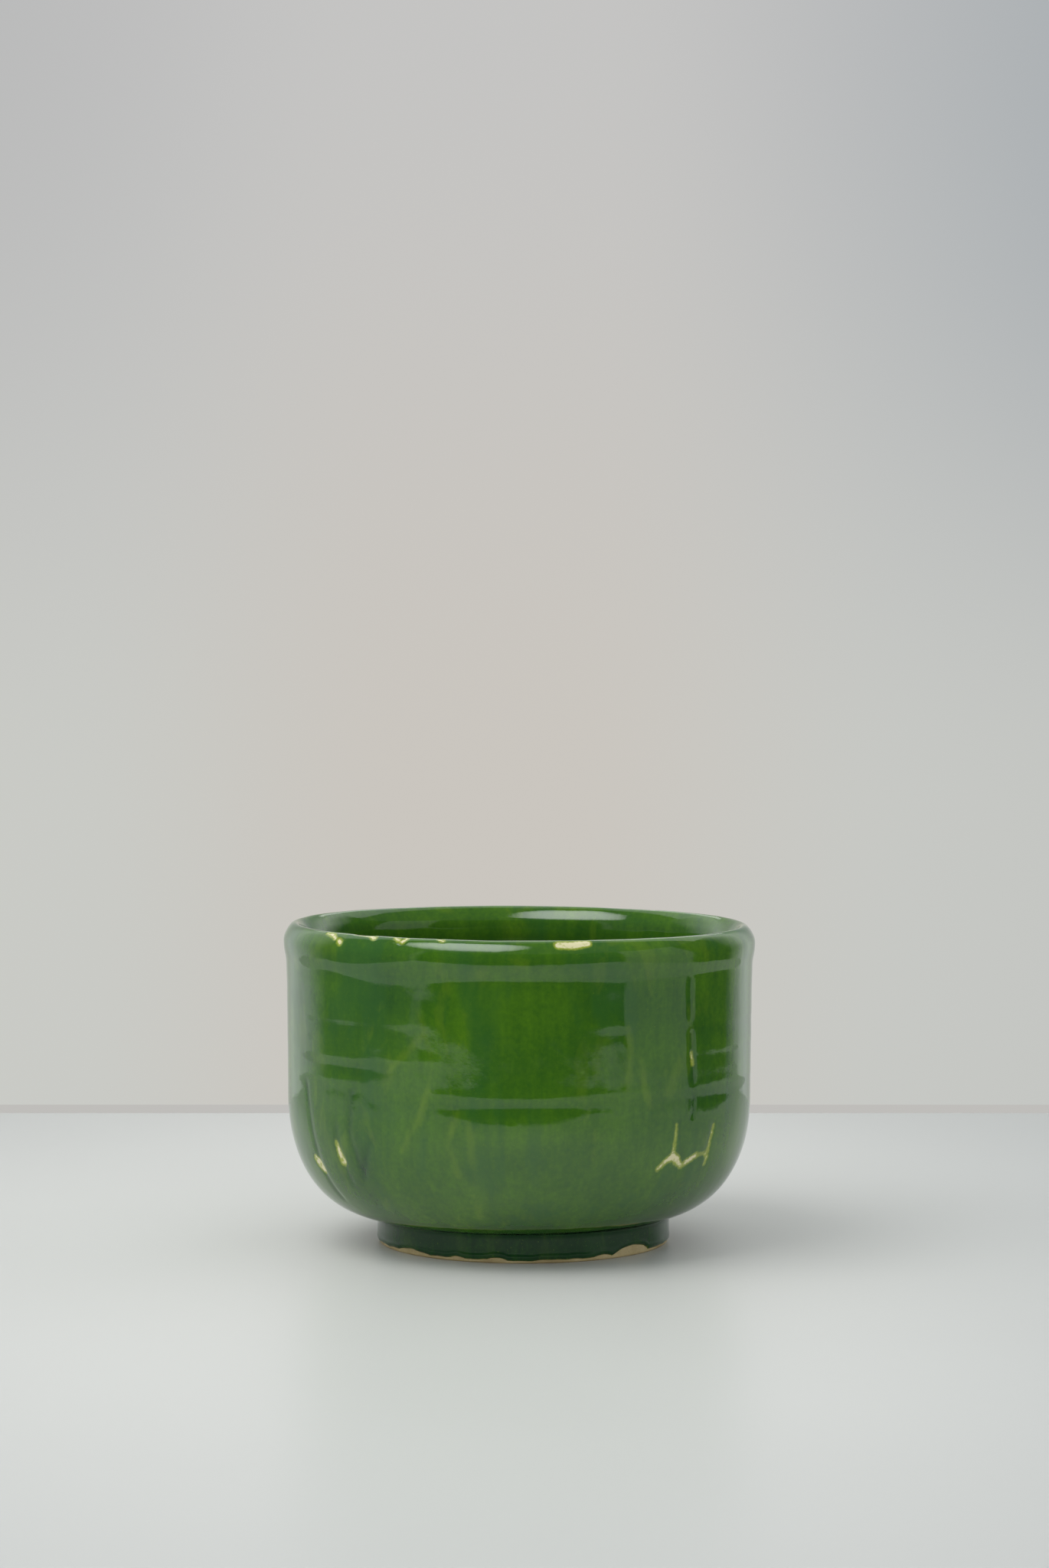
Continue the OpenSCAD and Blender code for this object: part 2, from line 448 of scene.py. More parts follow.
def distance_to_marks(points, marks):
    """Distance in mm to the nearest of some marks."""
    nearest = np.full(points.shape[:-1], FAR_MM, dtype=float)
    for mark in marks:
        chain = [on_skin(turn, height) for turn, height, _ in mark]
        radii = [radius for _, _, radius in mark]
        nearest = np.minimum(nearest, distance_to_chain(points, chain, radii))
    return nearest


def grooves(points):
    """The cut of every groove, in mm."""
    total = np.zeros(points.shape[:-1])
    for places, width, depth in GROOVES:
        chain = [on_skin(turn, height) for turn, height in places]
        total -= depth * bell(distance_to_chain(points, chain, [0] * len(chain)), 0, width)
    return total


def around(r, z, turn, middle_x=0):
    """A grid of points from rows of radius and height and columns of turn."""
    x, y = middle_x + r * np.sin(turn), -r * np.cos(turn)
    return np.stack(np.broadcast_arrays(x, y, z), axis=-1)


def skin_grid(along, turn):
    """The glazed surface, for rows along it and columns round it.

    Returns radius, height, the outward normal's two parts, and the relief and mark distance in mm.
    """
    r, z, nr, nz = (value[:, None] for value in SKIN.at(along))
    from_middle = (SKIN.end - along)[:, None]
    outside = 1 - smooth(along, SKIN.crest - 6 * MM, SKIN.crest + 2 * MM)[:, None]
    from_foot = smooth(along, 4 * MM, 16 * MM)[:, None]
    plain = around(r, z, turn)
    worked = rings_outside(turn, z) + pressed(turn, z) + pooling(turn, z)
    relief = outside * (from_foot * worked + grooves(plain))
    relief = relief + from_foot * unevenness(turn, z) * smooth(r, 6 * MM, 30 * MM)
    relief = relief + (1 - outside) * (rings_inside(turn, from_middle) + lumps_inside(turn, from_middle))
    mark = np.where(outside > 0.02, distance_to_marks(plain, BARE_MARKS), FAR_MM)
    shaped = outside * lip_shape(turn, z) + inner_lip_shape(along)[:, None]
    off = (relief + shaped - MARK_DEPTH_MM * (1 - smooth(mark, *MARK_SLOPE))) * MM
    high = np.cos(turn - math.radians(RIM_HIGH_TURN))
    rise = RIM_RISE * smooth(z, 0.6 * CAD_HIGH.z, CAD_HIGH.z) * high
    return r + off * nr, z + off * nz + rise, nr, nz, relief, mark


# ---------------------------------------------------------------- meshes


def uneven_turns(count):
    """Turns in radians, closer together at the front, where the glaze has most to show."""
    fine = np.linspace(-math.pi, math.pi, 4000, endpoint=False)
    front_half = math.radians(75)
    denser = 0.9
    weight = 1 + denser * np.exp(-((fine / front_half) ** 6))
    total = np.concatenate([[0], np.cumsum(weight)])
    total = total[:-1] / total[-1]
    return np.interp(np.arange(count) / count, total, fine)


def rows_between(low, high, step, fine_at=None):
    """Places from low to high a step apart, and closer together round fine_at."""
    finer = 1.6
    spread = 6 * MM
    dense = np.linspace(low, high, 3000)
    weight = np.ones_like(dense)
    if fine_at is not None:
        weight += finer * bell(dense, fine_at, spread)
    total = np.concatenate([[0], np.cumsum((weight[1:] + weight[:-1]) / 2 * np.diff(dense))])
    count = int(total[-1] / step) + 1
    return np.interp(np.linspace(0, total[-1], count), total, dense)


def grid_faces(rows, columns, first):
    """Quads of a grid that closes round, with its first vertex's number."""
    i, j = np.meshgrid(np.arange(rows - 1), np.arange(columns), indexing="ij")
    here = first + i * columns
    nxt = (j + 1) % columns
    return np.stack([here + j, here + nxt, here + columns + nxt, here + columns + j], -1).reshape(-1, 4)


def bridge(first_row, second_row, columns):
    """Quads between two rings of vertices."""
    j = np.arange(columns)
    nxt = (j + 1) % columns
    return np.stack([first_row + j, first_row + nxt, second_row + nxt, second_row + j], -1)


def cap(ring, columns, middle, is_start):
    """Triangles from a ring of vertices to a middle point, facing as the grid beside them does."""
    j = np.arange(columns)
    nxt = (j + 1) % columns
    pair = (ring + nxt, ring + j) if is_start else (ring + j, ring + nxt)
    return np.stack([*pair, np.full(columns, middle)], -1)


def closed_solid(name, grids, on_axis=None):
    """A mesh from grids laid end to end: each is bridged to the next one, and the last to the first.

    After grid number on_axis the two rings close on middle points of their own instead.
    """
    columns = grids[0].shape[1]
    points = np.concatenate([grid.reshape(-1, 3) for grid in grids])
    starts = np.cumsum([0] + [grid.shape[0] * columns for grid in grids])
    faces = []
    for k, grid in enumerate(grids):
        following = grids[(k + 1) % len(grids)]
        last_ring = starts[k + 1] - columns
        next_ring = starts[(k + 1) % len(grids)]
        faces += grid_faces(grid.shape[0], columns, starts[k]).tolist()
        if k == on_axis:
            faces += cap(last_ring, columns, len(points), False).tolist()
            faces += cap(next_ring, columns, len(points) + 1, True).tolist()
            middles = [grid[-1].mean(axis=0), following[0].mean(axis=0)]
            points = np.concatenate([points, middles])
        else:
            faces += bridge(last_ring, next_ring, columns).tolist()
    mesh = bpy.data.meshes.new(name)
    mesh.from_pydata(points.tolist(), [], faces)
    mesh.update()
    return mesh


def add_values(mesh, name, values, missing):
    """A number for each vertex that the material reads. Vertices past the end of values get missing."""
    full = np.full(len(mesh.vertices), missing, dtype=np.float32)
    full[: np.size(values)] = np.reshape(values, -1)
    mesh.attributes.new(name, "FLOAT", "POINT").data.foreach_set("value", full)


def add_piece(mesh, material, nodes):
    """A finished piece that stands for CAD nodes and rides on the bowl."""
    crease = math.radians(50)
    mesh.polygons.foreach_set("use_smooth", [True] * len(mesh.polygons))
    mesh.set_sharp_from_angle(angle=crease)
    mesh.materials.append(material)
    piece = bpy.data.objects.new(mesh.name, mesh)
    bpy.context.scene.collection.objects.link(piece)
    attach(piece, BODY)
    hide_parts(*nodes)


# ---------------------------------------------------------------- material nodes


class Nodes:
    """A material's node tree, with short calls for the nodes used here."""

    def __init__(self, name):
        self.material = bpy.data.materials.new(name)
        self.material.use_nodes = True
        self.tree = self.material.node_tree
        self.shader = self.tree.nodes["Principled BSDF"]
        self.place = self.add("ShaderNodeTexCoord").outputs["Object"]

    def add(self, kind, **settings):
        """A new node with some of its settings changed."""
        node = self.tree.nodes.new(kind)
        for key, value in settings.items():
            setattr(node, key, value)
        return node

    def plug(self, value, socket):
        """Links an output to a socket, or sets the socket to a number."""
        if isinstance(value, bpy.types.NodeSocket):
            self.tree.links.new(value, socket)
        else:
            socket.default_value = value

    def math(self, operation, a, b=0.0, c=0.0):
        """One operation on up to three numbers or outputs."""
        node = self.add("ShaderNodeMath", operation=operation)
        for value, socket in zip((a, b, c), node.inputs):
            self.plug(value, socket)
        return node.outputs[0]

    def stretched(self, x, y, z):
        """Places on the object, scaled along each axis."""
        node = self.add("ShaderNodeMapping")
        node.inputs["Scale"].default_value = (x, y, z)
        self.plug(self.place, node.inputs["Vector"])
        return node.outputs[0]

    def noise(self, place, scale, detail=3.0, roughness=0.5, distortion=0.0):
        """Random clouds round 0.5."""
        node = self.add("ShaderNodeTexNoise")
        self.plug(place, node.inputs["Vector"])
        node.inputs["Scale"].default_value = scale
        node.inputs["Detail"].default_value = detail
        node.inputs["Roughness"].default_value = roughness
        node.inputs["Distortion"].default_value = distortion
        return node.outputs["Fac"]

    def between(self, value, low, high, at_low=0.0, at_high=1.0):
        """A smooth step from one number at low to another at high."""
        node = self.add("ShaderNodeMapRange", interpolation_type="SMOOTHSTEP")
        for number, socket in zip((value, low, high, at_low, at_high), node.inputs):
            self.plug(number, socket)
        return node.outputs[0]

    def ramp(self, value, stops):
        """A colour read off stops of position and colour."""
        node = self.add("ShaderNodeValToRGB")
        points = node.color_ramp.elements
        while len(points) < len(stops):
            points.new(0.5)
        for point, (position, colour) in zip(points, stops):
            point.position = position
            point.color = (*colour, 1)
        self.plug(value, node.inputs[0])
        return node.outputs["Color"]

    def mix(self, share, a, b):
        """Colour a, with a share of colour b."""
        node = self.add("ShaderNodeMix", data_type="RGBA")
        self.plug(share, node.inputs["Factor"])
        for colour, socket in ((a, node.inputs[6]), (b, node.inputs[7])):
            self.plug(colour if isinstance(colour, bpy.types.NodeSocket) else (*colour, 1), socket)
        return node.outputs[2]

    def value(self, name):
        """A number that the mesh carries at each vertex."""
        return self.add("ShaderNodeAttribute", attribute_name=name).outputs["Fac"]

    def bump(self, height, strength, distance, below=None):
        """Fine relief in the shading only, on top of another if there is one below."""
        node = self.add("ShaderNodeBump")
        node.inputs["Strength"].default_value = strength
        node.inputs["Distance"].default_value = distance
        self.plug(height, node.inputs["Height"])
        if below is not None:
            self.plug(below, node.inputs["Normal"])
        return node.outputs[0]


STRAW = (0.34, 0.40, 0.05)
CREAM = (0.70, 0.66, 0.40)
GLAZE_THIN = (0.120, 0.215, 0.012)
GLAZE_LIGHT = (0.062, 0.162, 0.010)
GLAZE_MIDDLE = (0.040, 0.122, 0.010)
GLAZE_DEEP = (0.024, 0.088, 0.012)
GLAZE_POOL = (0.010, 0.046, 0.014)
GLAZE_TEAL = (0.026, 0.100, 0.020)
CLAY_DARK = (0.34, 0.255, 0.118)
CLAY_MIDDLE = (0.46, 0.365, 0.178)
CLAY_PALE = (0.57, 0.475, 0.255)
CLAY_GRIT = (0.17, 0.11, 0.07)

# The glaze's colour by how thick it looks
GLAZE_STOPS = [
    (0.18, GLAZE_THIN),
    (0.36, GLAZE_LIGHT),
    (0.52, GLAZE_MIDDLE),
    (0.70, GLAZE_DEEP),
    (0.95, GLAZE_POOL),
]


def glaze_depth(n, shift):
    """How thick the glaze looks, from 0 where it runs thin to 1 where it pools."""
    relief_share = 0.9
    cloud = n.noise(n.place, 38, 3, 0.5, 0.5)
    streak = n.noise(n.stretched(1, 1, 0.16), 170, 4, 0.6, 0.8)
    run = n.noise(n.stretched(1, 1, 0.08), 560, 3, 0.55, 0.2)
    fine = n.noise(n.place, 800, 4, 0.65)
    depth = n.math("MULTIPLY_ADD", cloud, 0.46, shift)
    depth = n.math("MULTIPLY_ADD", streak, 0.34, depth)
    depth = n.math("MULTIPLY_ADD", run, 0.18, depth)
    depth = n.math("MULTIPLY_ADD", fine, 0.36, depth)
    return n.math("MULTIPLY_ADD", n.value("relief"), -relief_share, depth)


def glaze_colour(n, shift, teal_share, wisp_share, runs):
    """The green itself: deeper where it pools, with bluer clouds, yellow wisps and runs, and flecks."""
    colour = n.ramp(glaze_depth(n, shift), GLAZE_STOPS)
    teal = n.between(n.noise(n.stretched(1, 1, 0.3), 75, 3, 0.55, 0.5), 0.50, 0.66)
    colour = n.mix(n.math("MULTIPLY", teal, teal_share), colour, GLAZE_TEAL)
    wisp = n.between(n.noise(n.stretched(1, 1, 0.5), 85, 4, 0.55, 1.2), 0.55, 0.70)
    colour = n.mix(n.math("MULTIPLY", wisp, wisp_share), colour, GLAZE_THIN)
    if runs:
        wander = n.math("MULTIPLY_ADD", n.noise(n.stretched(1, 1, 0.4), 420, 3, 0.6), 3.0, -1.5)
        run = n.between(n.math("ADD", n.value("away_from_run"), wander), -0.3, 1.3, 0.36, 0.0)
        colour = n.mix(run, colour, GLAZE_THIN)
    fleck = n.between(n.noise(n.place, 1900, 2, 0.6), 0.66, 0.74)
    colour = n.mix(n.math("MULTIPLY", fleck, 0.35), colour, GLAZE_THIN)
    speck = n.between(n.noise(n.stretched(1.3, 1.3, 1), 2600, 2, 0.6), 0.69, 0.76)
    return n.mix(n.math("MULTIPLY", speck, 0.40), colour, GLAZE_POOL)


def with_marks(n, colour):
    """The colour with pale marks in it, each with a yellow rim, and where the glaze is bare."""
    ragged = n.math("MULTIPLY_ADD", n.noise(n.place, 1300, 3, 0.6), 0.8, -0.40)
    mark = n.math("ADD", n.value("mark"), ragged)
    halo = n.between(mark, 0.0, 0.75, 0.75, 0.0)
    bare = n.between(mark, -0.28, 0.08, 1.0, 0.0)
    cream_share = n.between(n.noise(n.place, 520, 2, 0.5), 0.30, 0.50)
    bare_colour = n.mix(cream_share, STRAW, CREAM)
    return n.mix(bare, n.mix(halo, colour, STRAW), bare_colour), bare


def glaze_material(name, shift, ior=1.62, dullness=0.04, teal_share=0.6, wisp_share=0.3, runs=False):
    """Glossy copper green glaze, with a faint ripple, and duller at the bare marks."""
    n = Nodes(name)
    colour, bare = with_marks(n, glaze_colour(n, shift, teal_share, wisp_share, runs))
    n.plug(colour, n.shader.inputs["Base Color"])
    gloss = n.between(n.noise(n.place, 160, 3, 0.6), 0.35, 0.70, dullness, 2 * dullness)
    n.plug(n.math("MULTIPLY_ADD", bare, 0.15, gloss), n.shader.inputs["Roughness"])
    n.shader.inputs["IOR"].default_value = ior
    ripple = n.bump(n.noise(n.stretched(1, 1, 0.6), 300, 2, 0.4), 0.09, 0.0004)
    n.plug(n.bump(n.noise(n.place, 1500, 3, 0.6), 0.03, 0.0002, ripple), n.shader.inputs["Normal"])
    return n.material


def clay_material():
    """Bare fired stoneware: buff, with fine grain, darker grit and turning lines."""
    n = Nodes("bare_clay")
    tone = n.noise(n.place, 90, 4, 0.6)
    colour = n.ramp(tone, [(0.30, CLAY_DARK), (0.52, CLAY_MIDDLE), (0.75, CLAY_PALE)])
    grit = n.between(n.noise(n.place, 2300, 2, 0.7), 0.62, 0.72)
    colour = n.mix(n.math("MULTIPLY", grit, 0.55), colour, CLAY_GRIT)
    n.plug(colour, n.shader.inputs["Base Color"])
    n.plug(n.between(tone, 0.3, 0.7, 0.78, 0.62), n.shader.inputs["Roughness"])
    turned = n.bump(n.noise(n.stretched(0.15, 0.15, 1), 2600, 2, 0.6), 0.35, 0.0003)
    n.plug(n.bump(n.noise(n.place, 2800, 4, 0.7), 0.35, 0.0003, turned), n.shader.inputs["Normal"])
    return n.material


# ---------------------------------------------------------------- pieces

# A rounded corner of radius 1: how far each of its points is from the two lines that it joins
QUARTER_ROUND = [(1 - math.cos(a), 1 - math.sin(a)) for a in np.radians(np.linspace(0, 90, 8))]


def inner_side(along, turn):
    """The clay's side of a coat, walked back from the last row of the coat's face to its first."""
    back = rows_between(along[0], along[-1], BACK_STEP)[::-1]
    r, z, nr, nz, _, _ = skin_grid(back, turn)
    return around(r - COAT * nr, z - COAT * nz, turn)


def make_outer_coat(material):
    """The coat from the foot up the outside, over the lip and a little way down into the well."""
    turn = uneven_turns(COAT_COLUMNS)
    along = rows_between(0, SKIN.crest + OVER_LIP, OUTER_STEP, SKIN.crest)
    r, z, _, _, relief, mark = skin_grid(along, turn)
    mesh = closed_solid("outer_coat", [around(r, z, turn), inner_side(along, turn)])
    plain_r, plain_z, _, _ = (value[:, None] for value in SKIN.at(along))
    away_from_run = distance_to_marks(around(plain_r, plain_z, turn), RUN_LINES)
    add_values(mesh, "relief", relief, 0)
    add_values(mesh, "mark", mark, NO_MARK_MM)
    add_values(mesh, "away_from_run", away_from_run, NO_MARK_MM)
    add_piece(mesh, material, ["outer_glaze"])


def make_inner_coat(material):
    """The coat in the well, from under the lip to the middle of the floor."""
    turn = uneven_turns(COAT_COLUMNS)
    along = rows_between(SKIN.crest + OVER_LIP, SKIN.end - AXIS_GAP, INNER_STEP)
    r, z, _, _, relief, _ = skin_grid(along, turn)
    mesh = closed_solid("inner_coat", [around(r, z, turn), inner_side(along, turn)], on_axis=0)
    add_values(mesh, "relief", relief, 0)
    add_values(mesh, "mark", [], NO_MARK_MM)
    add_piece(mesh, material, ["inner_glaze"])


def make_body(material):
    """The thrown clay inside the coats."""
    turn = uneven_turns(CLAY_COLUMNS)
    along = rows_between(0, SKIN.end - AXIS_GAP, CLAY_STEP, SKIN.crest)
    r, z, nr, nz, _, _ = skin_grid(along, turn)
    mesh = closed_solid("clay_pot", [around(r - COAT * nr, z - COAT * nz, turn)], on_axis=0)
    add_piece(mesh, material, ["clay_body"])


def foot_edge(turn):
    """Height of the foot coat's lower edge at each turn, measured on the CAD node from below."""
    tree = node_tree("foot_glaze")
    r = FOOT_R - COAT / 2
    below = CAD_LOW.z - 1 * MM
    heights = []
    for angle in turn:
        start = Vector((FOOT_X + r * math.sin(angle), -r * math.cos(angle), below))
        hit = tree.ray_cast(start, Vector((0, 0, 1)))[0]
        heights.append(FOOT_COAT_LOW.z if hit is None else hit.z)
    return np.array(heights)


def wavy_foot_edge(turn):
    """The same edge with a fine waver, kept off the table."""
    waver = 0.10 * MM
    widest_lobes = 9
    lowest = 0.35 * MM
    rng = np.random.default_rng(5)
    edge = foot_edge(turn)
    for lobes in (widest_lobes, 17, 31, 52):
        reach = waver / math.sqrt(lobes / widest_lobes)
        edge = edge + reach * np.sin(lobes * turn + rng.uniform(0, TURN))
    return np.maximum(edge, lowest)


def make_foot_coat(material):
    """The coat on the outside of the foot: a wavy, rounded lower edge and a soft curve at its top."""
    rows = 26
    rounding_mm = 0.55
    bead_at, bead_half, bead_size = 0.9, 0.6, 0.10 * MM
    fillet = 1.7 * MM
    into_clay = 0.05 * MM
    waver = 0.05 * MM
    mark_share, mark_start = 1.8, 0.25
    turn = uneven_turns(FOOT_COAT_COLUMNS)
    edge = wavy_foot_edge(turn)
    top = UNDERSIDE_Z + 0.5 * COAT
    z = edge + np.linspace(0, 1, rows)[:, None] * (top - edge)
    from_edge = (z - edge) / MM
    r = FOOT_R - COAT * np.clip(1 - from_edge / rounding_mm, 0, 1) ** 2
    r = r + bead_size * bell(from_edge, bead_at, bead_half)
    into_fillet = np.clip(z - (top - fillet), 0, fillet)
    r = r + fillet - np.sqrt(fillet**2 - into_fillet**2)
    r = r + waver * np.sin(5 * turn + 1.0) * np.sin(3 * turn)
    back = around(FOOT_CLAY_R - into_clay, np.stack([z[-1], z[0]]), turn, FOOT_X)
    mesh = closed_solid("foot_coat", [around(r, z, turn, FOOT_X), back])
    add_values(mesh, "relief", [], 0)
    add_values(mesh, "mark", from_edge * mark_share + mark_start, NO_MARK_MM)
    add_piece(mesh, material, ["foot_glaze"])


def make_foot(material):
    """The ring foot, its standing edge worn round and slightly uneven."""
    rows = 16
    round_r = 0.6 * MM
    chatter = 0.03 * MM
    turn = uneven_turns(FOOT_COLUMNS)
    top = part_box("foot_ring")[1].z
    outer = [(FOOT_CLAY_R, z) for z in np.linspace(top, round_r, rows)]
    turn_out = [(FOOT_CLAY_R - round_r * out, round_r * up) for out, up in QUARTER_ROUND]
    turn_in = [(RECESS_R + round_r * out, round_r * up) for out, up in QUARTER_ROUND[::-1]]
    inner = [(RECESS_R, z) for z in np.linspace(round_r, top, rows)]
    section = np.array(outer + turn_out[1:] + turn_in + inner[1:])
    r, z = section[:, :1], section[:, 1:]
    uneven = chatter * np.sin(z / MM * 9 + 3 * turn) + chatter * np.sin(7 * turn + 2)
    r = r + uneven * smooth(z, 0.3 * MM, 1.2 * MM)
    mesh = closed_solid("foot_clay", [around(r, z, turn, FOOT_X)[::-1]])
    add_piece(mesh, material, ["foot_ring"])


def make_recess_coat(material):
    """The coat on the ceiling of the recess and part of the way down its wall."""
    round_r = 1.2 * MM
    pitch = 5.0
    turned_mm = 0.06
    turn = uneven_turns(RECESS_COLUMNS)
    ceiling = UNDERSIDE_Z
    wall_r = RECESS_R - COAT
    low = RECESS_COAT_LOW.z
    down = [(wall_r, z) for z in np.linspace(low, ceiling - round_r, 10)]
    curve = [(wall_r - round_r * out, ceiling - round_r * up) for out, up in QUARTER_ROUND[1:]]
    across = [(r, ceiling) for r in np.linspace(wall_r - round_r, AXIS_GAP, 34)[1:]]
    section = np.array(down + curve + across)[::-1]
    r, z = section[:, :1], section[:, 1:]
    wave = 2 * math.pi * r / MM / pitch - turn
    relief = turned_mm * np.sin(wave) * smooth(r, 2 * MM, 6 * MM) * (1 - smooth(r, 22 * MM, 27 * MM))
    back_section = np.array([(RECESS_R, low), (RECESS_R, ceiling + COAT), (AXIS_GAP, ceiling + COAT)])
    back = around(back_section[:, :1], back_section[:, 1:], turn, FOOT_X)
    mesh = closed_solid("recess_coat", [around(r, z + relief * MM, turn, FOOT_X), back], on_axis=1)
    add_values(mesh, "relief", relief, 0)
    add_values(mesh, "mark", [], NO_MARK_MM)
    add_piece(mesh, material, ["recess_glaze"])


# ---------------------------------------------------------------- stage, light and camera

TABLE_LEFT, TABLE_RIGHT = -0.38, 0.34
TABLE_FRONT, TABLE_BACK = -0.355, 0.247
FLOOR_REACH = 12.0
BACKDROP_AWAY = 1.6
BACKDROP_HALF_WIDTH = 4
BACKDROP_LOW, BACKDROP_HIGH = -3, 4
# The glowing strip of painted shade along the table's back edge: from this far under the table to this far
# above and behind it
EDGE_UNDER, EDGE_ABOVE, EDGE_DEEP = 0.004, 0.0012, 0.012
EDGE_SHADE_COLOUR = (0.52, 0.51, 0.49)
# The room that the glaze mirrors, as a distance from the bowl, and the elevations of its wall
ROOM_R = 2.1
WALL_LOW, WALL_HIGH = -60, 38
WALL_COLOUR = (0.97, 1.0, 1.0)
CARD_COLOUR = (0.98, 1.0, 1.0)
CARD_COLUMNS, CARD_ROWS = 33, 17

# Colours of the floor, the backdrop and the light around. FLOOR_NEAR has stops along a noise, and the
# backdrop's pairs go from low down to high up
FLOOR_NEAR = [(0.3, (0.625, 0.638, 0.62)), (0.7, (0.645, 0.658, 0.64))]
# Painted shade: the floor's colours far from the bowl and on its right
FLOOR_FAR_SHADE = (0.505, 0.518, 0.51)
FLOOR_RIGHT_SHADE = (0.51, 0.525, 0.52)
# The backdrop glows instead of being lit, so these tones are painted light: painted shade darker up high,
# on the right and up on the left, and brighter ends
BACKDROP_NEUTRAL = [(0.585, 0.592, 0.562), (0.530, 0.530, 0.530)]
BACKDROP_WARM = [(0.590, 0.562, 0.520), (0.555, 0.552, 0.545)]
BACKDROP_RIGHT_SHADE = (0.39, 0.42, 0.44)
BACKDROP_LEFT_SHADE = (0.475, 0.478, 0.478)
BACKDROP_ENDS_LIGHT = (0.92, 0.95, 0.96)
WORLD_COLOUR = (0.81, 0.82, 0.82)

CAMERA_PLACE = (0.0013, -0.9405, 0.1557)
CAMERA_TILT_DOWN = 0.0417
CAMERA_LENS_MM = 85
CAMERA_SENSOR_MM = 36
LIGHT_TARGET = (0, 0, 0.04)

# The room's wall as turns and tones: dark in front, greyer at the left, pale at the right and both ends
ROOM_TONES = [
    (-170, 0.90),
    (-142, 1.05),
    (-122, 0.66),
    (-108, 0.13),
    (-54, 0.13),
    (-53, 0.30),
    (-50, 0.30),
    (-48, 0.006),
    (52, 0.006),
    (53, 0.42),
    (90, 0.42),
    (92, 0.03),
    (120, 0.04),
    (131, 0.55),
    (142, 1.08),
    (170, 1.12),
]


def stage_object(name, points, faces, material):
    """A plain object that isn't part of the bowl."""
    mesh = bpy.data.meshes.new(name)
    mesh.from_pydata(points, [], faces)
    mesh.materials.append(material)
    thing = bpy.data.objects.new(name, mesh)
    bpy.context.scene.collection.objects.link(thing)
    return thing


def level_sheet(name, x_low, x_high, y_low, y_high, z, material):
    """A flat rectangle on the level."""
    corners = [(x_low, y_low, z), (x_high, y_low, z), (x_high, y_high, z), (x_low, y_high, z)]
    return stage_object(name, corners, [(0, 1, 2, 3)], material)


def only_glow(n):
    """Swaps a material's shader for one that gives off light."""
    glow = n.add("ShaderNodeEmission")
    n.tree.nodes.remove(n.shader)
    n.plug(glow.outputs[0], n.tree.nodes["Material Output"].inputs["Surface"])
    return glow


def glowing(name, colour, from_tone=False):
    """A material that gives off a plain light, or one that follows its mesh's tone."""
    n = Nodes(name)
    glow = only_glow(n)
    glow.inputs["Color"].default_value = (*colour, 1)
    if from_tone:
        n.plug(n.value("tone"), glow.inputs["Strength"])
    return n.material


def only_mirrored(thing):
    """Seen in the glaze's gloss, and nowhere else."""
    thing.visible_camera = False
    thing.visible_diffuse = False
    thing.visible_shadow = False
    thing.visible_transmission = False


def on_room(turn, up, away=ROOM_R):
    """The point of the room at a turn and an elevation, in degrees."""
    turn, up = math.radians(turn), math.radians(up)
    level = away * math.cos(up)
    return (level * math.sin(turn), -level * math.cos(turn), away * math.sin(up))


def room_sheet(name, rows, material):
    """A sheet through rows of points, mirrored by the glaze and seen nowhere else."""
    wide = len(rows[0])
    faces = []
    for i in range(len(rows) - 1):
        here = i * wide
        above = here + wide
        faces += [(here + j, here + j + 1, above + j + 1, above + j) for j in range(wide - 1)]
    sheet = stage_object(name, [point for row in rows for point in row], faces, material)
    only_mirrored(sheet)
    return sheet


def room_wall(stops, low, high):
    """The wall round the room, from stops of turn and tone."""
    row_step = 7
    turns = sorted(set(range(stops[0][0], stops[-1][0] + 1)) | {turn for turn, _ in stops})
    rows = [[on_room(turn, up) for turn in turns] for up in range(low, high + 1, row_step)]
    wall = room_sheet("room_wall", rows, glowing("room_wall", WALL_COLOUR, True))
    tones = np.interp(turns, [turn for turn, _ in stops], [tone for _, tone in stops])
    add_values(wall.data, "tone", np.tile(tones, len(rows)), 0)


def room_card(name, turn_low, turn_high, up_low, up_high, tone, away=ROOM_R, rounded=False):
    """Part of the room between two turns and two elevations. A rounded one is an oval with soft edges."""
    columns, rows = np.linspace(-1, 1, CARD_COLUMNS), np.linspace(-1, 1, CARD_ROWS)
    middle, reach = (turn_low + turn_high) / 2, (turn_high - turn_low) / 2
    level, half = (up_low + up_high) / 2, (up_high - up_low) / 2
    places = []
    for row in rows:
        narrow = [math.sqrt(1 - column**2) if rounded else 1 for column in columns]
        ups = [level + row * half * share for share in narrow]
        places.append([on_room(middle + reach * column, up, away) for column, up in zip(columns, ups)])
    card = room_sheet(name, places, glowing(name, CARD_COLOUR, True))
    fade = np.ones((CARD_ROWS, CARD_COLUMNS))
    if rounded:
        fade = (1 - columns**4) * (1 - rows[:, None] ** 4)
    add_values(card.data, "tone", tone * fade, 0)


def floor_material():
    """Smooth pale board with a soft sheen, and painted shade: a little darker away from the bowl and on the
    right.
    """
    n = Nodes("pale_floor")
    place = n.stretched(1.0, 0.62, 0)
    split = n.add("ShaderNodeSeparateXYZ")
    n.plug(place, split.inputs[0])
    away = n.add("ShaderNodeVectorMath", operation="LENGTH")
    n.plug(place, away.inputs[0])
    colour = n.ramp(n.noise(n.place, 6, 2, 0.5), FLOOR_NEAR)
    # Painted shade: darker away from the bowl, and darker towards the right
    far = n.between(away.outputs["Value"], 0.06, 0.30)
    colour = n.mix(far, colour, FLOOR_FAR_SHADE)
    right = n.between(split.outputs["X"], 0.03, 0.20)
    colour = n.mix(n.math("MULTIPLY", right, 0.5), colour, FLOOR_RIGHT_SHADE)
    n.plug(colour, n.shader.inputs["Base Color"])
    sheen = n.between(away.outputs["Value"], 0.13, 0.29, 0.5, 0.0)
    n.plug(sheen, n.shader.inputs["Specular IOR Level"])
    n.shader.inputs["Roughness"].default_value = 0.34
    n.shader.inputs["IOR"].default_value = 1.28
    return n.material


